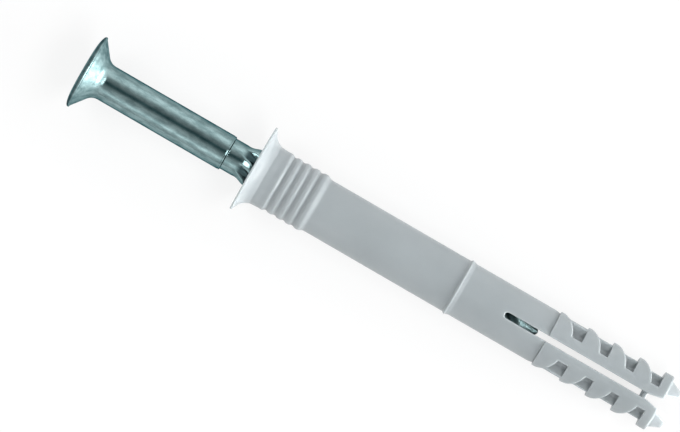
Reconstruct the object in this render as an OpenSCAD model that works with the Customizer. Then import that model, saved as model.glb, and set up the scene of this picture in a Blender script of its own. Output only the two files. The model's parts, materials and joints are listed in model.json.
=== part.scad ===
// Hammer fixing plug: a slotted nylon sleeve with a flared collar and barbed
// expansion legs, and a countersunk steel drive screw started in its bore.
// Each piece is drawn along its own axis: 0 is the face of the collar, positive
// is towards the tip of the sleeve. place() then lays the pair on the ground,
// on the rim of the collar and the flats of the legs.

/* [Sleeve shaft] */
// Diameter of the plain shaft, the nominal size of the plug
shaft_d = 8; // [7.9:0.05:8.1]
// Distance from the collar face to the first tooth
plain_len = 46.8; // [46:0.1:60]
// Distance from the collar face to the thin raised ring
ring_at = 32.8; // [14:0.1:36]
// How far the ring stands out of the shaft
ring_h = 0.27; // [0.1:0.01:0.27]
// Diameter of the bore that guides the screw
bore_d = 5.9; // [5.85:0.05:6.1]

/* [Collar and ribs] */
// Diameter of the collar rim
collar_d = 12.9; // [12.4:0.1:14]
// Thickness of the rim at its edge
collar_edge = 0.14; // [0.1:0.01:0.3]
// Depth of the flare, from the collar face to the neck
collar_h = 2.15; // [2:0.05:2.5]
// Diameter of the neck under the flare
neck_d = 8.8; // [8.7:0.05:9]
// Number of grip ribs
rib_count = 5; // [2:1:6]
// Distance from the collar face to the first rib
rib_first = 3.55; // [3.2:0.05:4]
// Spacing of the ribs
rib_pitch = 1.4; // [1.2:0.05:1.6]
// Height of the ribs over the grooves between them
rib_h = 0.2; // [0.15:0.01:0.3]

/* [Expansion legs] */
// Diameter over the teeth
teeth_d = 8.4; // [8.3:0.05:8.6]
// Distance between the two flats of the legs
flats = 8.08; // [8.04:0.02:8.2]
// Length of the first tooth, which runs into the shaft
lead_tooth = 4.4; // [4:0.05:4.8]
// Spacing of the other teeth
tooth_pitch = 4.07; // [3.9:0.01:4.4]
// Diameter over the web in the first notch
notch_first = 7.76; // [7.4:0.02:7.8]
// Diameter over the web in the last notch
notch_last = 6.66; // [6.4:0.02:7.2]
// Distance from the middle to the inner wall of a notch
notch_in = 1.9; // [1.8:0.05:2.1]
// Thickness of the web in a notch, between its two pockets
notch_web = 4; // [2.6:0.1:4]
// Width of the slit between the legs
slit_w = 0.86; // [0.6:0.02:1.1]
// Distance from the collar face to the end of the slit
slit_from = 40.1; // [36.5:0.1:42]
// Diameter of the bore between the legs
leg_bore_d = 4.8; // [4.7:0.05:5.2]
// Length of the last tooth
end_tooth = 1.45; // [1.2:0.05:1.8]
// Length of the tapered nubs that end the legs
nub_len = 1.75; // [1:0.05:2.2]

/* [Drive screw] */
// How far the head stands out of the collar before it is driven
proud = 27; // [22:0.1:28]
// Length of the screw
screw_len = 72.4; // [68:0.1:73]
// Diameter of the head
head_d = 11; // [10.6:0.1:11]
// Height of the rounded top of the head, above its rim
crown_h = 0.6; // [0.4:0.05:0.8]
// Diameter of the plain shank
shank_d = 5.2; // [5:0.05:5.4]
// Length of the head and shank together
shank_len = 22.95; // [20:0.05:24]
// Diameter of the neck between shank and thread
neck_in_d = 4.75; // [4.65:0.05:5]
// Distance from the end of the shank to the shoulder where the thread begins
shoulder_at = 3.4; // [3:0.05:4]
// Diameter of the thread at its crest
crest_d = 5.7; // [5.4:0.05:5.75]
// Diameter of the thread at its root
root_d = 4.6; // [4.3:0.05:4.6]
// Number of starts of the steep drive thread
thread_starts = 6; // [4:1:6]
// Length in which the thread turns once
thread_lead = 24; // [20:1:30]
// Length of the point
point_len = 2.9; // [2:0.1:4]
// Span of the cross recess
recess_span = 5.9; // [4.6:0.1:6.2]
// Depth of the cross recess
recess_depth = 2.7; // [2:0.1:3]
// Width of an arm of the cross recess
recess_arm = 1.4; // [0.9:0.05:1.5]

/* [Hidden] */

// fineness of curves
$fn = 96;

shaft_r = shaft_d / 2;
bore_r = bore_d / 2;
collar_r = collar_d / 2;
neck_r = neck_d / 2;
teeth_r = teeth_d / 2;
flat_x = flats / 2;
leg_bore_r = leg_bore_d / 2;

// slope of the screw head's cone and of its seat, radius lost per length
seat_slope = 1.29;
// radius of the seat at the collar face, just over the head's
seat_r = head_d / 2 + 0.05;

// heads of the teeth, from the first to the last
teeth = [for (i = [0:4]) i == 0 ? plain_len : plain_len + lead_tooth + (i - 1) * tooth_pitch];
leg_end = teeth[4] + end_tooth;
tip = leg_end + nub_len;

// ground contact: the collar rim and the end of the lower flat
tilt = atan((collar_r - flat_x) / (leg_end - collar_edge));
head_top = -proud;
crown_r = head_d * 0.31;
// ends of the laid-down pair along the ground, and its lowest point
ground_min = head_top * cos(tilt) - crown_r * sin(tilt);
nub_tip_r = 2.8;
ground_max = tip * cos(tilt) + sqrt(pow(nub_tip_r, 2) - 4) * sin(tilt);
drop = collar_r * cos(tilt) + collar_edge * sin(tilt);

module place() {
    translate([-(ground_min + ground_max) / 2, 0, drop])
        rotate([0, 90 + tilt, 0]) children();
}

// smooth step from 0 to 1
function ease(t) = t <= 0 ? 0 : t >= 1 ? 1 : t * t * (3 - 2 * t);

// radius of the ribbed stretch under the flare
rib_low = shaft_r + 0.13;
rib_last = rib_first + (rib_count - 1) * rib_pitch;
// a rib rises gently from the head side, has a short flat crest and falls steeply
rib_flat = 0.25 * rib_pitch;
rib_foot = 0.63 * rib_pitch;
rib_run = 0.9;
function rib_crest(i) = i == 0 ? neck_r + 0.01 : rib_low + rib_h;
function rib_points(i) = let (z = rib_first + i * rib_pitch, c = rib_crest(i), n = rib_crest(i + 1))
    concat([[c, z]],
           [for (k = [0:5]) [rib_low + (c - rib_low) * (1 - ease(k / 6)), z + rib_flat + k / 6 * (rib_foot - rib_flat)]],
           [for (k = [0:5]) [rib_low + (n - rib_low) * ease(k / 6), z + rib_foot + k / 6 * (rib_pitch - rib_foot)]]);
function run_out() = concat([[rib_crest(1), rib_last]], [for (k = [0:6])
    [shaft_r + (rib_crest(1) - shaft_r) * (1 - ease(k / 6)), rib_last + rib_flat + k / 6 * rib_run]]);

// trumpet-shaped outside of the collar, which runs out over the neck
function flare() = [for (k = [1:9])
    [neck_r + (collar_r - neck_r) * pow(1 - k / 9, 1.8) + 0.07 * pow(k / 9, 2), collar_edge + (collar_h - collar_edge) * k / 9]];

// outline of the sleeve from the collar to the first tooth, without its holes
function shaft_outline() = concat(
    [[0, 0], [collar_r - 0.05, 0], [collar_r, 0.05], [collar_r, collar_edge],
     each flare(), [neck_r + 0.045, collar_h + 0.25], [neck_r + 0.02, collar_h + 0.5], [neck_r, rib_first - 0.3]],
    [for (i = [0:rib_count - 2]) each rib_points(i)],
    run_out(),
    [[shaft_r, ring_at - 0.5], [shaft_r + ring_h, ring_at - 0.1], [shaft_r + ring_h, ring_at + 0.1],
     [shaft_r, ring_at + 0.55], [shaft_r, plain_len + 0.4], [0, plain_len + 0.4]]);

// outline of the bore: seat of the head, guide bore, taper, bore of the legs
taper_from = slit_from + 2.9;
function bore_outline() = [[0, -1], [seat_r + seat_slope, -1],
    [bore_r, (seat_r - bore_r) / seat_slope], [bore_r, taper_from],
    [leg_bore_r, taper_from + 4], [leg_bore_r, tip + 1], [0, tip + 1]];

// space of one notch on the +Y leg: behind tooth i, in front of the next one, a
// pocket on each side of the web in its middle
tooth_r = 3.0;
tooth_y = 1.3;
bore_wall = 0.55;
module notch(i) {
    s = (notch_first + (notch_last - notch_first) * i / 3) / 2;
    difference() {
        translate([-6, notch_in, teeth[i]]) cube([12, 6, teeth[i + 1] - teeth[i]]);
        // rounded back of the tooth
        translate([-7, tooth_y, teeth[i] - 0.1]) rotate([0, 90, 0]) cylinder(r = tooth_r, h = 14);
        // web that stays in the notch, and the wall of the bore
        translate([-notch_web / 2, -s, teeth[i] - 1]) cube([notch_web, 2 * s, 8]);
        translate([0, 0, teeth[i] - 1]) cylinder(r = leg_bore_r + bore_wall, h = 8);
    }
}

// both legs as one body, before the slit parts them
module legs() {
    intersection() {
        translate([0, 0, plain_len]) cylinder(r = teeth_r, h = end_tooth + teeth[4] - plain_len);
        translate([-flat_x, -6, plain_len - 1]) cube([flats, 12, 30]);
    }
    translate([0, 0, leg_end - 0.5]) cylinder(r1 = nub_tip_r + 0.8 * (1 + 0.5 / nub_len), r2 = nub_tip_r, h = nub_len + 0.5);
}

// slit with a round end, opening out past the web
web_at = teeth[4] - 1.15;
module slit() {
    translate([-7, -slit_w / 2, slit_from + slit_w / 2]) cube([14, slit_w, tip]);
    translate([-7, 0, slit_from + slit_w / 2]) rotate([0, 90, 0]) cylinder(d = slit_w, h = 14);
    // flare at the tip, and the gap between the nubs
    translate([7, 0, 0]) rotate([0, -90, 0]) linear_extrude(14)
        polygon([[web_at + 0.6, -slit_w / 2], [web_at + 0.6, slit_w / 2],
                 [leg_end, slit_w / 2 + 0.4], [leg_end, 1.35], [tip + 0.2, 2.05],
                 [tip + 0.2, -2.05], [leg_end, -1.35], [leg_end, -slit_w / 2 - 0.4]]);
}

// thin webs that tie the legs together near the tip
module webs() {
    for (s = [-1, 1])
        translate([s * 2.85 - 0.4, -0.8, web_at - 0.33]) cube([0.8, 1.6, 0.66]);
}

module sleeve() {
    color([0.66, 0.69, 0.70]) place() union() {
        difference() {
            union() {
                // its seam is turned off the line on which the collar lies
                rotate(2.65) rotate_extrude() polygon(shaft_outline());
                legs();
            }
            rotate_extrude() polygon(bore_outline());
            slit();
            for (i = [0:3], m = [0, 1]) mirror([0, m, 0]) notch(i);
        }
        webs();
    }
}

// ---- drive screw ----
head_r = head_d / 2;
shank_r = shank_d / 2;
shank_end = head_top + shank_len;
shoulder = shank_end + shoulder_at;
crest_r = crest_d / 2;
root_r = root_d / 2;
point = head_top + screw_len;
cone_h = (head_r - shank_r) / seat_slope;

function screw_outline() = [[0, head_top], [crown_r, head_top],
    [crown_r + (head_r - crown_r) * 0.5, head_top + crown_h * 0.18],
    [crown_r + (head_r - crown_r) * 0.82, head_top + crown_h * 0.45],
    [head_r - 0.06, head_top + crown_h * 0.75], [head_r, head_top + crown_h],
    [shank_r + 0.34, head_top + crown_h + cone_h - 0.34 / seat_slope],
    [shank_r + 0.14, head_top + crown_h + cone_h],
    [shank_r, head_top + crown_h + cone_h + 0.5],
    [shank_r, shank_end - 0.06], [shank_r - 0.06, shank_end], [neck_in_d / 2 + 0.04, shank_end + 0.35],
    [neck_in_d / 2, shank_end + 0.7], [neck_in_d / 2, shoulder - 1.2],
    [root_r - 0.1, shoulder - 0.6], [0, shoulder - 0.6]];

// threaded stretch: rings of points, each turned one step on from the last, so
// that a row of points along the screw keeps its place on the thread; its ridges
// rise out of the neck and form the shoulder
seg = 36;
ring_step = thread_lead / seg;
z_start = shoulder - 2.1;
rows = floor((point - z_start) / ring_step);
function row_z(j) = j < rows ? z_start + j * ring_step : point;
function core_r(z) = z < point - point_len ? root_r
    : root_r + (0.3 - root_r) * (z - point + point_len) / point_len;
function run(z) = ease((z - shoulder + 1.65) / 2) * ease((point - point_len - z) / 1.5);
function thread_r(z, s) = core_r(z) + (crest_r - root_r) * run(z)
    * pow(0.5 + 0.5 * cos(360 * s * thread_starts / seg), 1.3);

module threaded() {
    pts = [for (j = [0:rows], s = [0:seg - 1]) let (z = row_z(j), a = 360 * (s / seg + (z - shoulder + 0.55) / thread_lead), r = thread_r(z, s))
        [r * cos(a), r * sin(a), z]];
    sides = [for (j = [0:rows - 1], s = [0:seg - 1]) let (a = j * seg + s, b = j * seg + (s + 1) % seg)
        each [[a, a + seg, b], [b, a + seg, b + seg]]];
    polyhedron(points = pts, faces = concat(sides,
        [[for (s = [0:seg - 1]) s], [for (s = [seg - 1:-1:0]) rows * seg + s]]), convexity = 6);
}

// one slot of the cross recess, across the axis: span at the top, width, depth
module recess_slot(span, width, depth) {
    rotate([90, 0, 0]) linear_extrude(width, center = true)
        polygon([[-span / 2, -0.5], [span / 2, -0.5], [span / 2, 0.1], [span * 0.24, depth],
                 [0, depth + 0.35], [-span * 0.24, depth], [-span / 2, 0.1]]);
}

module drive_screw() {
    color([0.62, 0.70, 0.71]) place() difference() {
        union() {
            rotate_extrude() polygon(screw_outline());
            threaded();
        }
        translate([0, 0, head_top]) for (a = [0, 90]) {
            rotate(a) recess_slot(recess_span, recess_arm, recess_depth);
            rotate(a + 45) recess_slot(recess_span * 0.56, recess_arm * 0.5, recess_depth * 0.8);
        }
    }
}

sleeve();
drive_screw();
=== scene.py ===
# Hammer fixing plug: the detailed nylon sleeve and steel drive screw, around the
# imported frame. Lengths along the plug are in millimetres from the collar face,
# positive towards the tip: a along the axis, w across the teeth, v up.
import json
import math

import bpy
import numpy as np
from mathutils import Matrix, Vector


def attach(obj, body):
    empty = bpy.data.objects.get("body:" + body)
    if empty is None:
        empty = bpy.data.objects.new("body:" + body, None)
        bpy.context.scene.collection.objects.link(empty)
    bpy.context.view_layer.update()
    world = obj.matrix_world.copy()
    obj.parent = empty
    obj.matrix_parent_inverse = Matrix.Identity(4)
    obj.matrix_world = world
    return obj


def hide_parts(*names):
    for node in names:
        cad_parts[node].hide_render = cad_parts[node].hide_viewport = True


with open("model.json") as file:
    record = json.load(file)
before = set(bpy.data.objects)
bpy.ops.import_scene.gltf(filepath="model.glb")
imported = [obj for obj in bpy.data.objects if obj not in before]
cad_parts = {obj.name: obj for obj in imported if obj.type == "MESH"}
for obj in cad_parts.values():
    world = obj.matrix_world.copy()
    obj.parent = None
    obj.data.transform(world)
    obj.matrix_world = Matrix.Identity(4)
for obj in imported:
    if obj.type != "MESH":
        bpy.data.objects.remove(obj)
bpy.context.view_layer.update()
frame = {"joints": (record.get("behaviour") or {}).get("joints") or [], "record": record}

# ---- the plug's own axes in the frame ----
joint = frame["joints"][0]
along = np.array(joint["axis"], float)
along /= np.linalg.norm(along)
across = np.array([0.0, 1.0, 0.0])
up = np.cross(along, across)
recess = [m for m in frame["record"]["mounts"] if m["name"] == "driver_recess"][0]
PROUD = 27.0
collar_face = np.array(recess["pos_m"], float) + along * PROUD / 1000.0


def to_frame(a, w, v):
    p = np.stack([np.asarray(x, float) for x in np.broadcast_arrays(a, w, v)], -1) / 1000.0
    return collar_face + p @ np.stack([along, across, up])


def mesh_object(name, points, faces, smooth=True):
    mesh = bpy.data.meshes.new(name)
    mesh.from_pydata([tuple(p) for p in points], [], faces)
    mesh.validate()
    mesh.polygons.foreach_set("use_smooth", [smooth] * len(mesh.polygons))
    mesh.update()
    obj = bpy.data.objects.new(name, mesh)
    bpy.context.scene.collection.objects.link(obj)
    return obj


def ease(t):
    t = np.clip(t, 0.0, 1.0)
    return t * t * (3 - 2 * t)


# ---- sleeve ----
SHAFT_R, BORE_R, LEG_BORE_R = 4.0, 2.95, 2.4
COLLAR_R, COLLAR_EDGE, COLLAR_H, NECK_R = 6.45, 0.3, 2.05, 4.4
TEETH = [46.8, 51.2, 55.27, 59.34, 63.41]
LEG_R, FLAT, LEG_END, TIP = 4.2, 4.04, 64.86, 66.61
SLIT, SLIT_FROM = 0.43, 40.1
NOTCH_WEB, WALL_R = 2.0, 3.15
WEB_AT = 62.26
SEAT_R, SEAT_SLOPE = 5.55, 1.29


def outer_profile():
    """Radius of the round part of the sleeve, against its length."""
    pts = [(-1.0, COLLAR_R), (COLLAR_EDGE, COLLAR_R)]
    for k in np.linspace(0.04, 1, 36):
        pts.append((COLLAR_EDGE + (COLLAR_H - COLLAR_EDGE) * k, NECK_R + (COLLAR_R - NECK_R) * (1 - k) * (0.48 + 0.52 * (1 - k) ** 3) + 0.06 * k * k))
    pts += [(2.4, NECK_R + 0.045), (2.7, NECK_R + 0.02), (3.1, NECK_R)]
    low, crest = SHAFT_R + 0.13, SHAFT_R + 0.33
    crests = [(3.55, NECK_R + 0.01)] + [(3.55 + 1.4 * i, crest) for i in range(1, 5)]
    for i, (at, r) in enumerate(crests):
        # a rib rises gently from the head side, has a short flat crest and falls steeply
        nxt = crests[i + 1] if i < 4 else None
        flat, end, foot = (0.36, 0.88, low) if nxt else (0.36, 1.25, SHAFT_R)
        pts.append((at, r))
        for t in np.linspace(0, 1, 10):
            pts.append((at + flat + (end - flat) * t, foot + (r - foot) * (1 - ease(t))))
        if nxt:
            for t in np.linspace(0.1, 0.95, 8):
                pts.append((at + end + (1.4 - end) * t, low + (nxt[1] - low) * ease(t)))
    pts += [(10.5, SHAFT_R), (32.5, SHAFT_R), (32.72, SHAFT_R + 0.2), (32.78, SHAFT_R + 0.25), (32.85, SHAFT_R + 0.245),
            (32.94, SHAFT_R + 0.15), (33.5, SHAFT_R), (45.8, SHAFT_R), (46.25, SHAFT_R - 0.02), (46.5, SHAFT_R - 0.065),
            (46.7, SHAFT_R - 0.11), (46.9, SHAFT_R - 0.13), (48.0, SHAFT_R - 0.13)]
    pts = np.array(sorted(pts))
    a = np.arange(-1.0, 48.0, 0.02)
    r = np.interp(a, pts[:, 0], pts[:, 1])
    soft = np.exp(-0.5 * (np.arange(-8, 9) * 0.02 / 0.05) ** 2)
    blurred = np.convolve(np.pad(r, 8, "edge"), soft / soft.sum(), "valid")
    r = np.where(a > COLLAR_EDGE + 0.16, blurred, r)
    return a, r, np.gradient(r, a)


OUT_A, OUT_R, OUT_S = outer_profile()
BORE_PTS = np.array([(-1.0, SEAT_R + SEAT_SLOPE), ((SEAT_R - BORE_R) / SEAT_SLOPE, BORE_R), (43.0, BORE_R), (47.0, LEG_BORE_R), (70.0, LEG_BORE_R)])
BORE_A = np.arange(-1.0, 70.0, 0.02)
BORE_RAD = np.interp(BORE_A, BORE_PTS[:, 0], BORE_PTS[:, 1])
BORE_S = np.gradient(BORE_RAD, BORE_A)


def smin(p, q, k):
    h = np.clip(0.5 + 0.5 * (q - p) / k, 0, 1)
    return q * (1 - h) + p * h - k * h * (1 - h)


def smax(p, q, k):
    return -smin(-p, -q, k)


def sleeve_field(a, w, v):
    """Distance to the sleeve's surface, about, negative inside."""
    r = np.hypot(w, v)
    aw, av = np.abs(w), np.abs(v)
    shaft = (r - np.interp(a, OUT_A, OUT_R)) / np.sqrt(1 + np.minimum(np.interp(a, OUT_A, OUT_S) ** 2, 9))
    shaft = smax(smax(shaft, -a, 0.05), a - 47.4, 0.05)
    legs = smax(smax(r - LEG_R, TEETH[0] - a, 0.06), av - FLAT, 0.12)
    for i in range(4):
        s = 3.88 + (3.33 - 3.88) * i / 3
        back = 3.0 - np.hypot(a - TEETH[i] + 0.1, aw - 1.3)
        web = smin(s - aw, NOTCH_WEB - av, 0.12)
        web = smax(web, WALL_R - r, 0.12)
        gap = smax(smax(smax(back, web, 0.15), 1.9 - aw, 0.15), a - TEETH[i + 1], 0.1)
        gap = np.maximum(gap, TEETH[i] - a)
        legs = smax(legs, -gap, 0.09)
    legs = smax(legs, a - LEG_END, 0.25)
    nub = (r - (3.6 - 0.457 * (a - LEG_END))) / 1.1
    nub = smax(nub, (1.35 + 0.3 * (a - LEG_END) - aw) / 1.05, 0.2)
    nub = smax(np.maximum(nub, LEG_END - 0.6 - a), a - TIP, 0.2)
    body = smin(smin(shaft, legs, 0.03), nub, 0.22)
    bore = (np.interp(a, BORE_A, BORE_RAD) - r) / np.sqrt(1 + np.interp(a, BORE_A, BORE_S) ** 2)
    body = smax(body, bore, 0.07)
    half = SLIT + 0.2 * np.clip(a - 62.86, 0, 2.3)
    slit = np.where(a < SLIT_FROM + SLIT, np.hypot(a - SLIT_FROM - SLIT, aw) - SLIT, aw - half)
    body = smax(body, -slit, 0.14)
    web = smax(smax(np.abs(a - WEB_AT) - 0.31, np.abs(av - 2.7) - 0.32, 0.05), aw - 0.8, 0.02)
    return smin(body, web, 0.08)


def stations(*parts):
    out = []
    for start, end, step in parts:
        n = max(1, int(round((end - start) / step)))
        out.append(np.linspace(start, end, n, endpoint=False))
    return np.append(np.concatenate(out), parts[-1][1])


def surface_of(field, A, T, R):
    """Closed quad surface of a field on a grid of length, angle and radius, with
    its points pulled on to the field's own zero."""
    na, nt, nr = len(A), len(T), len(R)
    ga, gt, gr = np.meshgrid(A, np.append(T, T[0] + 2 * math.pi), R, indexing="ij")
    f = field(ga, gr * np.sin(gt), gr * np.cos(gt))
    f[:, -1] = f[:, 0]
    inside = f < 0
    acc = np.zeros((na - 1, nt, nr - 1, 3))
    cnt = np.zeros((na - 1, nt, nr - 1))
    corner = [(x, y, z) for x in (0, 1) for y in (0, 1) for z in (0, 1)]
    pos = (ga, gt, gr)

    def part(g, c):
        return g[c[0] : c[0] + na - 1, c[1] : c[1] + nt, c[2] : c[2] + nr - 1]

    for c in corner:
        for ax in range(3):
            if c[ax]:
                continue
            d = tuple(1 if k == ax else c[k] for k in range(3))
            f0, f1 = part(f, c), part(f, d)
            cut = part(inside, c) != part(inside, d)
            t = np.where(cut, f0 / np.where(cut, f0 - f1, 1.0), 0.0)
            for k in range(3):
                p0, p1 = part(pos[k], c), part(pos[k], d)
                acc[..., k] += np.where(cut, p0 + (p1 - p0) * t, 0.0)
            cnt += cut
    live = cnt > 0
    index = np.full(live.shape, -1)
    index[live] = np.arange(live.sum())
    cell = np.argwhere(live)
    p = acc[live] / cnt[live][:, None]
    pts = np.stack([p[:, 0], p[:, 2] * np.sin(p[:, 1]), p[:, 2] * np.cos(p[:, 1])], 1)
    inside = inside[:, :nt]
    quads = []
    i, j, k = np.nonzero(inside[:-1, :, 1:-1] != inside[1:, :, 1:-1])
    k = k + 1
    quads.append(np.stack([index[i, j - 1, k - 1], index[i, j, k - 1], index[i, j, k], index[i, j - 1, k]], 1))
    turned = np.roll(inside, -1, axis=1)
    i, j, k = np.nonzero(inside[1:-1, :, 1:-1] != turned[1:-1, :, 1:-1])
    i, k = i + 1, k + 1
    quads.append(np.stack([index[i - 1, j, k - 1], index[i, j, k - 1], index[i, j, k], index[i - 1, j, k]], 1))
    i, j, k = np.nonzero(inside[1:-1, :, :-1] != inside[1:-1, :, 1:])
    i = i + 1
    quads.append(np.stack([index[i - 1, j - 1, k], index[i, j - 1, k], index[i, j, k], index[i - 1, j, k]], 1))
    quads = np.concatenate(quads)

    def slope(q, e=0.004):
        return np.stack([(field(q[:, 0] + e * (m == 0), q[:, 1] + e * (m == 1), q[:, 2] + e * (m == 2))
                          - field(q[:, 0] - e * (m == 0), q[:, 1] - e * (m == 1), q[:, 2] - e * (m == 2))) / (2 * e) for m in range(3)], 1)

    for _ in range(4):
        g = slope(pts)
        move = field(pts[:, 0], pts[:, 1], pts[:, 2])[:, None] * g / np.maximum((g**2).sum(1), 0.05)[:, None]
        size = np.linalg.norm(move, axis=1)[:, None]
        pts -= move * np.minimum(1.0, 0.06 / np.maximum(size, 1e-9))
    mid = pts[quads].mean(1)
    c = pts[quads]
    normal = np.cross(c[:, 2] - c[:, 0], c[:, 3] - c[:, 1])
    flip = (normal * slope(mid)).sum(1) < 0
    quads[flip] = quads[flip][:, ::-1]
    return pts, quads, cell


def sleeve_mesh():
    legs = []
    for i in range(4):
        end = TEETH[i + 1]
        start = TEETH[i] + (0.5 if i == 0 else 0.3)
        legs += [(start, WEB_AT - 0.4, 0.16), (WEB_AT - 0.4, WEB_AT + 0.4, 0.05)] if i == 3 else []
        legs += [(WEB_AT + 0.4 if i == 3 else start, end - 0.24, 0.16), (end - 0.24, end + 0.3, 0.062)]
    A = stations((-0.1, 0.5, 0.05), (0.5, 1.7, 0.13), (1.7, 2.3, 0.08), (2.3, 10.6, 0.12), (10.6, 32.3, 1.4), (32.3, 33.7, 0.068),
                 (33.7, 39.85, 1.2), (39.85, 41.1, 0.085), (41.1, 45.6, 0.7), (45.6, 46.3, 0.2), (46.3, 47.3, 0.07), *legs, (63.71, 66.85, 0.1))
    one = np.concatenate([np.arange(0, 12, 1.05), np.arange(12.5, 66, 2.4), np.arange(68.5, 90, 4.4)])
    quarter = np.radians(np.append(one, 90))
    T = np.unique(np.round(np.concatenate([quarter, math.pi - quarter, math.pi + quarter, 2 * math.pi - quarter]), 6))
    T = T[T < 2 * math.pi - 1e-4] + 0.0007
    R = stations((1.9, 3.2, 0.16), (3.2, 4.6, 0.09), (4.6, 6.65, 0.13))
    pts, quads, cell = surface_of(sleeve_field, A, T, R)
    # the plain bore, and the slit and back of the legs, need only a few rings
    rad = np.hypot(pts[:, 1], pts[:, 2])
    to = np.arange(len(pts))
    for plain, rings in ((rad < 3.02, (2.6, 8.0, 15.0, 22.0, 29.0, 36.0, 39.7)),
                         ((rad < 2.5) | (np.abs(pts[:, 1]) < 1.62), (47.8, 50.5, 53.3, 56.1, 58.8, 61.4))):
        keep = np.array([np.argmin(np.abs(A - x)) for x in rings])
        on = np.nonzero(plain & np.isin(cell[:, 0], keep))[0]
        ring = {tuple(cell[n]): n for n in on}
        for n in np.nonzero(plain & (cell[:, 0] > keep[0]) & (cell[:, 0] < keep[-1]))[0]:
            at = keep[np.searchsorted(keep, cell[n, 0], "right") - 1]
            to[n] = ring.get((at, cell[n, 1], cell[n, 2]), n)
    quads = to[quads]
    faces = []
    for q in quads:
        u = list(dict.fromkeys(q.tolist()))
        if len(u) > 2:
            faces.append(u)
    used = np.unique(np.concatenate([np.array(u) for u in faces]))
    back = np.full(len(pts), -1)
    back[used] = np.arange(len(used))
    faces = [[int(back[x]) for x in u] for u in faces]
    p = pts[used]
    return mesh_object("sleeve_moulding", to_frame(p[:, 0], p[:, 1], p[:, 2]), faces)


# ---- drive screw ----
HEAD_R, SHANK_R, NECK_IN_R, CREST_R, ROOT_R = 5.5, 2.6, 2.375, 2.85, 2.3
HEAD_TOP, POINT = -27.0, 45.4
LEAD, STARTS = 24.0, 6


def cross_outline(span, half, diag, wide):
    """Outline of the cross recess, 40 points to a quarter: half span and half width of
    its arms, reach and half width of the small diagonal ribs."""
    c = math.sqrt(0.5)
    t = max((half + wide * c) / c, 0.01)
    diag = max(diag, t + 0.02)
    corner = np.array([(span, 0.0), (span, half), (t * c + wide * c, half), (diag * c + wide * c, diag * c - wide * c),
                       (diag * c - wide * c, diag * c + wide * c), (half, t * c + wide * c), (half, span), (0.0, span)])
    counts = [5, 9, 3, 6, 3, 9, 5]
    q = np.concatenate([corner[i] + (corner[i + 1] - corner[i]) * (np.arange(n) / n)[:, None] for i, n in enumerate(counts)])
    return np.concatenate([q, np.stack([-q[:, 1], q[:, 0]], 1), -q, np.stack([q[:, 1], -q[:, 0]], 1)])


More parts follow.
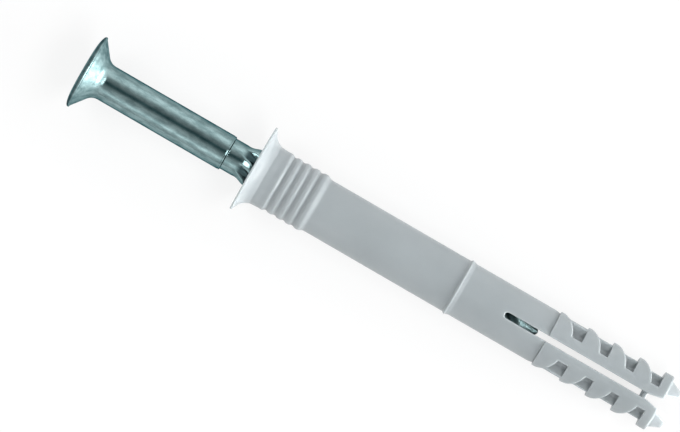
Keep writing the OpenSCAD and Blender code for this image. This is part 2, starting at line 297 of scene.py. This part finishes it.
def screw_mesh():
    rows = []  # each row: length, x and y of its points around the axis

    def add(a, xy):
        rows.append(np.column_stack([np.full(len(xy), float(a)), xy]))

    top = cross_outline(2.95, 0.7, 1.65, 0.35)
    low = cross_outline(1.42, 0.56, 0.9, 0.2)
    n = len(top)
    add(HEAD_TOP + 2.86, low * 0.5)
    add(HEAD_TOP + 2.72, low * 0.92)
    for t in np.linspace(0, 1, 9):
        add(HEAD_TOP + 2.6 + (0.16 - 2.6) * t, low + (top - low) * t)
    add(HEAD_TOP + 0.06, cross_outline(2.99, 0.73, 1.68, 0.37))
    add(HEAD_TOP + 0.0, cross_outline(3.07, 0.8, 1.75, 0.41))
    outer = cross_outline(3.07, 0.8, 1.75, 0.41)
    angle = np.unwrap(np.arctan2(outer[:, 1], outer[:, 0]))
    even = np.arange(n) * 2 * math.pi / n
    for t, rad in ((0.35, 3.2), (0.75, 3.33)):
        size = np.hypot(outer[:, 0], outer[:, 1])
        size = size + (rad - size) * t
        add(HEAD_TOP, np.column_stack([size * np.cos(angle), size * np.sin(angle)]))
    prof = [(3.41, 0.0), (3.8, 0.012), (4.2, 0.05), (4.6, 0.115), (4.95, 0.205), (5.2, 0.295), (5.36, 0.385), (5.45, 0.47), (5.49, 0.55), (5.5, 0.62),
            (5.485, 0.70), (5.43, 0.79)]
    slope = 1.29
    cone_a = 0.6 + (HEAD_R - SHANK_R) / slope
    for r in np.linspace(5.3, 3.36, 12):
        prof.append((r, 0.6 + (HEAD_R - r) / slope + 0.03))
    for t in np.radians(np.linspace(51, 0, 12)):
        prof.append((SHANK_R + 1.7 * (1 - math.cos(t)), cone_a + 0.863 - 1.7 * math.sin(t)))
    prof += [(2.6, x) for x in np.linspace(cone_a + 1.4, 22.55, 14)]
    prof += [(2.6, 22.72), (2.597, 22.745), (2.545, 22.765), (2.542, 22.785), (2.555, 22.82), (2.575, 22.88), (2.592, 22.93), (2.598, 22.96), (2.59, 22.985),
             (2.55, 23.01), (2.46, 23.05), (2.395, 23.09), (2.376, 23.13), (2.375, 23.2), (2.375, 23.6), (2.375, 24.0)]
    turn = 2 * math.pi / LEAD
    begin = -2.75

    def twist(a):
        return 0.4 * (a + 1.2) + 0.6 * (0.5 * np.clip(a + 0.7, 0, 1) ** 2 + np.maximum(a - 0.3, 0))

    for k, (r, h) in enumerate(prof):
        mix = ease(k / 9)
        ang = angle + (even - angle) * mix + turn * twist(begin) * ease((h - 23.0) / 1.1)
        add(HEAD_TOP + h, np.column_stack([r * np.cos(ang), r * np.sin(ang)]))
    # thread: its ridges rise out of the neck, and the points keep their place on it as they go round
    # painted shade: how far the colour is darkened, row by row, down the cross recess
    painted_darkening = [0.3, 0.6] + [0.92] * 7 + [0.8, 0.4]
    painted_shade = [np.full(n, d) for d in painted_darkening + [0.0] * (len(rows) - len(painted_darkening))]
    # and a painted dark line of shade along the rim of the head
    for k, (r, h) in enumerate(prof[:12]):
        painted_shade[len(rows) - len(prof) + k] += 0.72 * ease((r - 4.9) / 0.4) * ease((0.66 - h) / 0.1)
    lengths = np.concatenate([np.linspace(begin, 1.0, 36), np.arange(1.4, POINT - 3.4, 0.45), np.linspace(POINT - 3.2, POINT - 0.12, 22)])
    for a in lengths:
        inside = ease((a + 0.3) / 1.5)
        wave = (1 - inside) * ease(0.5 + 0.72 * np.cos(STARTS * even)) + inside * (0.5 + 0.5 * np.cos(STARTS * even)) ** 1.3
        rise = 0.3 * ease((a + 2.15) / 1.95) + 0.7 * min(max((a + 2.15) / 1.95, 0), 1)
        core = NECK_IN_R + (ROOT_R - NECK_IN_R) * ease((a + 2.3) / 1.2)
        tall = (CREST_R - core) * rise * ease((POINT - 2.9 - a) / 1.5 + 0.15)
        left = POINT - a
        if left < 2.9:
            core = 0.22 + (ROOT_R - 0.22) * (left / 2.9) ** 0.92
        r = core + tall * wave
        ang = even + turn * twist(a)
        add(a, np.column_stack([r * np.cos(ang), r * np.sin(ang)]))
        # painted shade in the hollows between the thread's ridges
        painted_shade.append(ease((a + 2.25) / 0.9) * ease((left - 2.6) / 1.5) * ease((0.75 - wave) / 0.6))
    painted_shade = np.concatenate(painted_shade + [np.array([0.2, 0.0])])
    m = len(rows)
    p = np.concatenate(rows)
    pts = np.concatenate([p, [[HEAD_TOP + 2.95, 0, 0], [POINT, 0, 0]]])
    faces = []
    for i in range(m - 1):
        for j in range(n):
            b = (j + 1) % n
            faces.append((i * n + j, i * n + b, (i + 1) * n + b, (i + 1) * n + j))
    for j in range(n):
        b = (j + 1) % n
        faces.append((m * n, b, j))
        faces.append((m * n + 1, (m - 1) * n + j, (m - 1) * n + b))
    # x lies down, y across: turned a little so that the cross sits as it is shown
    q = to_frame(pts[:, 0], pts[:, 2], -pts[:, 1])
    tri = np.array([(f[0], f[1], f[2]) for f in faces])
    if np.einsum("ij,ij->i", q[tri[:, 0]], np.cross(q[tri[:, 1]], q[tri[:, 2]])).sum() < 0:
        faces = [f[::-1] for f in faces]
    obj = mesh_object("drive_screw_steel", q, faces)
    obj.data.attributes.new("painted_shade", "FLOAT", "POINT").data.foreach_set("value", painted_shade.astype(np.float32))
    return obj


# ---- materials ----
def new_material(name):
    m = bpy.data.materials.new(name)
    m.use_nodes = True
    t = m.node_tree
    return m, t, t.nodes["Principled BSDF"]


def noise(t, coord, scale, detail=3.0, rough=0.5, stretch=None):
    n = t.nodes.new("ShaderNodeTexNoise")
    n.inputs["Scale"].default_value = scale
    n.inputs["Detail"].default_value = detail
    n.inputs["Roughness"].default_value = rough
    if stretch:
        mp = t.nodes.new("ShaderNodeMapping")
        mp.inputs["Scale"].default_value = stretch
        t.links.new(coord, mp.inputs["Vector"])
        coord = mp.outputs["Vector"]
    t.links.new(coord, n.inputs["Vector"])
    return n.outputs["Fac"]


def ramp(t, fac, *stops):
    r = t.nodes.new("ShaderNodeValToRGB")
    e = r.color_ramp.elements
    while len(e) < len(stops):
        e.new(0.5)
    for k, (x, c) in enumerate(stops):
        e[k].position = x
        e[k].color = (*c, 1.0)
    t.links.new(fac, r.inputs["Fac"])
    return r.outputs["Color"]


def spread(t, fac, lo, hi):
    m = t.nodes.new("ShaderNodeMapRange")
    m.inputs["To Min"].default_value = lo
    m.inputs["To Max"].default_value = hi
    t.links.new(fac, m.inputs["Value"])
    return m.outputs["Result"]


def bump(t, bsdf, height, distance, strength=1.0):
    b = t.nodes.new("ShaderNodeBump")
    b.inputs["Distance"].default_value = distance
    b.inputs["Strength"].default_value = strength
    t.links.new(height, b.inputs["Height"])
    t.links.new(b.outputs["Normal"], bsdf.inputs["Normal"])


def nylon():
    m, t, b = new_material("grey_nylon")
    co = t.nodes.new("ShaderNodeTexCoord").outputs["Object"]
    cloud = noise(t, co, 140.0, 4.0, 0.55)
    t.links.new(ramp(t, cloud, (0.30, (0.255, 0.280, 0.291)), (0.70, (0.277, 0.303, 0.315))), b.inputs["Base Color"])
    t.links.new(spread(t, noise(t, co, 900.0, 3.0), 0.36, 0.50), b.inputs["Roughness"])
    b.inputs["IOR"].default_value = 1.5
    b.inputs["Specular IOR Level"].default_value = 0.25
    b.inputs["Subsurface Weight"].default_value = 0.9
    b.inputs["Subsurface Radius"].default_value = (1.0, 1.0, 0.95)
    b.inputs["Subsurface Scale"].default_value = 0.0013
    bump(t, b, noise(t, co, 5200.0, 3.0, 0.6), 0.000012, 0.6)
    return m


def zinc():
    m, t, b = new_material("zinc_plate")
    co = t.nodes.new("ShaderNodeTexCoord").outputs["Object"]
    lines = noise(t, co, 1.0, 4.0, 0.6, (90.0, 2600.0, 2600.0))
    tone = noise(t, co, 1.0, 4.0, 0.6, (520.0, 1300.0, 1300.0))
    plate = ramp(t, tone, (0.38, (0.158, 0.240, 0.248)), (0.62, (0.272, 0.384, 0.393)))
    # the pressed head and the rolled thread are duller than the drawn shank; the thread's colour also carries painted
    # shade, darkened where it runs inside the sleeve's bore
    axes = t.nodes.new("ShaderNodeSeparateXYZ")
    t.links.new(co, axes.inputs[0])
    place = t.nodes.new("ShaderNodeMapRange")
    place.inputs["From Min"].default_value = float(to_frame(-27.0, 0, 0)[0])
    place.inputs["From Max"].default_value = float(to_frame(46.0, 0, 0)[0])
    t.links.new(axes.outputs["X"], place.inputs["Value"])
    at = lambda a: (a + 27.0) / 73.0
    dull = ramp(t, place.outputs["Result"], *[(at(a), (g, g, g)) for a, g in ((-23.9, 0.37), (-23.2, 0.085), (-0.2, 0.10), (1.0, 0.36))])
    # painted shade: from just inside the collar onward the steel is darkened to 0.62 of its plating
    bore_shade = ramp(t, place.outputs["Result"], (at(-0.2), (1.0, 1.0, 1.0)), (at(1.5), (0.62, 0.62, 0.62)))
    both = t.nodes.new("ShaderNodeMix")
    both.data_type = "RGBA"
    both.blend_type = "MULTIPLY"
    both.inputs["Factor"].default_value = 1.0
    t.links.new(plate, both.inputs["A"])
    t.links.new(bore_shade, both.inputs["B"])
    # and painted shade keeps the plating dark in the cross recess, along the head's rim and in the hollows between the
    # thread's ridges
    shade_attribute = t.nodes.new("ShaderNodeAttribute")
    shade_attribute.attribute_name = "painted_shade"
    painted_darkening = t.nodes.new("ShaderNodeMix")
    painted_darkening.data_type = "RGBA"
    painted_darkening.blend_type = "MULTIPLY"
    painted_darkening.inputs["Factor"].default_value = 1.0
    t.links.new(both.outputs["Result"], painted_darkening.inputs["A"])
    t.links.new(ramp(t, shade_attribute.outputs["Fac"], (0.0, (1.0, 1.0, 1.0)), (1.0, (0.16, 0.19, 0.20))), painted_darkening.inputs["B"])
    t.links.new(painted_darkening.outputs["Result"], b.inputs["Base Color"])
    rough = t.nodes.new("ShaderNodeMath")
    rough.operation = "MULTIPLY_ADD"
    t.links.new(lines, rough.inputs[0])
    rough.inputs[1].default_value = 0.12
    t.links.new(dull, rough.inputs[2])
    t.links.new(rough.outputs[0], b.inputs["Roughness"])
    b.inputs["Metallic"].default_value = 1.0
    b.inputs["Specular Tint"].default_value = (0.16, 0.23, 0.25, 1.0)
    bump(t, b, lines, 0.000004, 0.5)
    return m


# ---- pieces ----
sleeve = sleeve_mesh()
sleeve.data.materials.append(nylon())
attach(sleeve, "sleeve")
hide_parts("sleeve")

screw = screw_mesh()
screw.data.materials.append(zinc())
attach(screw, "drive_screw")
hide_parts("drive_screw")

# ---- floor, light, camera ----
scene = bpy.context.scene
scene.view_settings.view_transform = "Standard"
scene.view_settings.look = "None"

bpy.ops.mesh.primitive_plane_add(size=3.0, location=(0, 0, -0.00002))
floor = bpy.context.object
floor.name = "floor"
fm, ft, fb = new_material("pale_floor")
fco = ft.nodes.new("ShaderNodeTexCoord").outputs["Object"]
ft.links.new(ramp(ft, noise(ft, fco, 6.0, 2.0), (0.3, (0.145, 0.145, 0.145)), (0.7, (0.155, 0.155, 0.155))), fb.inputs["Base Color"])
fb.inputs["Roughness"].default_value = 0.9
fb.inputs["Specular IOR Level"].default_value = 0.1
fb.inputs["Emission Color"].default_value = (1.0, 1.0, 1.0, 1.0)
fb.inputs["Emission Strength"].default_value = 0.78
floor.data.materials.append(fm)

# a tent of soft light along both sides of the plug, dim straight above
world = bpy.data.worlds.new("studio")
world.use_nodes = True
scene.world = world
wt = world.node_tree
bg = wt.nodes["Background"]
direction = wt.nodes.new("ShaderNodeTexCoord").outputs["Generated"]
axes = wt.nodes.new("ShaderNodeSeparateXYZ")
wt.links.new(direction, axes.inputs[0])
turn = wt.nodes.new("ShaderNodeMath")
turn.operation = "ARCTAN2"
wt.links.new(axes.outputs["Y"], turn.inputs[0])
wt.links.new(axes.outputs["Z"], turn.inputs[1])
part = wt.nodes.new("ShaderNodeMapRange")
part.inputs["From Min"].default_value = -math.pi / 2
part.inputs["From Max"].default_value = math.pi / 2
wt.links.new(turn.outputs[0], part.inputs["Value"])
TENT = [(-90, 0.36), (-78, 0.44), (-66, 0.66), (-56, 0.95), (-47, 0.62), (-37, 0.42), (-19, 0.28), (-3, (0.032, 0.062, 0.066)), (6, (0.036, 0.067, 0.071)), (20, 0.20), (35, 0.33), (53, 0.70), (74, 0.82), (90, 0.54)]
tent = ramp(wt, part.outputs["Result"], *[((b + 90) / 180, g if isinstance(g, tuple) else (g, g, g)) for b, g in TENT])
wt.links.new(tent, bg.inputs["Color"])
bg.inputs["Strength"].default_value = 1.9


def area(name, azimuth, elevation, far, size, radiance):
    """A soft panel, placed by its direction from the plug: 0 is the tip's end, 90 the +Y side."""
    d = bpy.data.lights.new(name, "AREA")
    d.shape = "RECTANGLE"
    d.size, d.size_y = size
    d.energy = radiance * math.pi * size[0] * size[1]
    o = bpy.data.objects.new(name, d)
    az, el = math.radians(azimuth), math.radians(elevation)
    back = Vector((math.cos(el) * math.cos(az), math.cos(el) * math.sin(az), math.sin(el)))
    o.location = back * far
    o.rotation_euler = back.to_track_quat("Z", "Y").to_euler()
    o.visible_camera = False
    scene.collection.objects.link(o)


area("key", 3, 9, 0.9, (0.5, 0.24), 46.0)
area("over_tip", 0, 62, 0.9, (0.6, 0.24), 9.0)
area("over_head", 180, 53, 0.8, (0.36, 0.22), 5.5)

# the view is square to the plug's axis, which runs down to the right at 30.1 degrees
cam = bpy.data.cameras.new("camera")
eye = bpy.data.objects.new("camera", cam)
scene.collection.objects.link(eye)
scene.camera = eye
FAR, PX = 1.0, 7.25
roll = math.radians(30.1)
right = along * math.cos(roll) + across * math.sin(roll)
high = -along * math.sin(roll) + across * math.cos(roll)
aim = collar_face + along * 0.01373 + across * 0.00028
basis = Matrix([[right[i], high[i], up[i]] for i in range(3)]).to_4x4()
eye.matrix_world = Matrix.Translation(Vector(aim + up * FAR)) @ basis
cam.sensor_width = 36.0
cam.lens = 36.0 * FAR / (680 / PX / 1000.0)
cam.clip_start, cam.clip_end = 0.01, 20.0
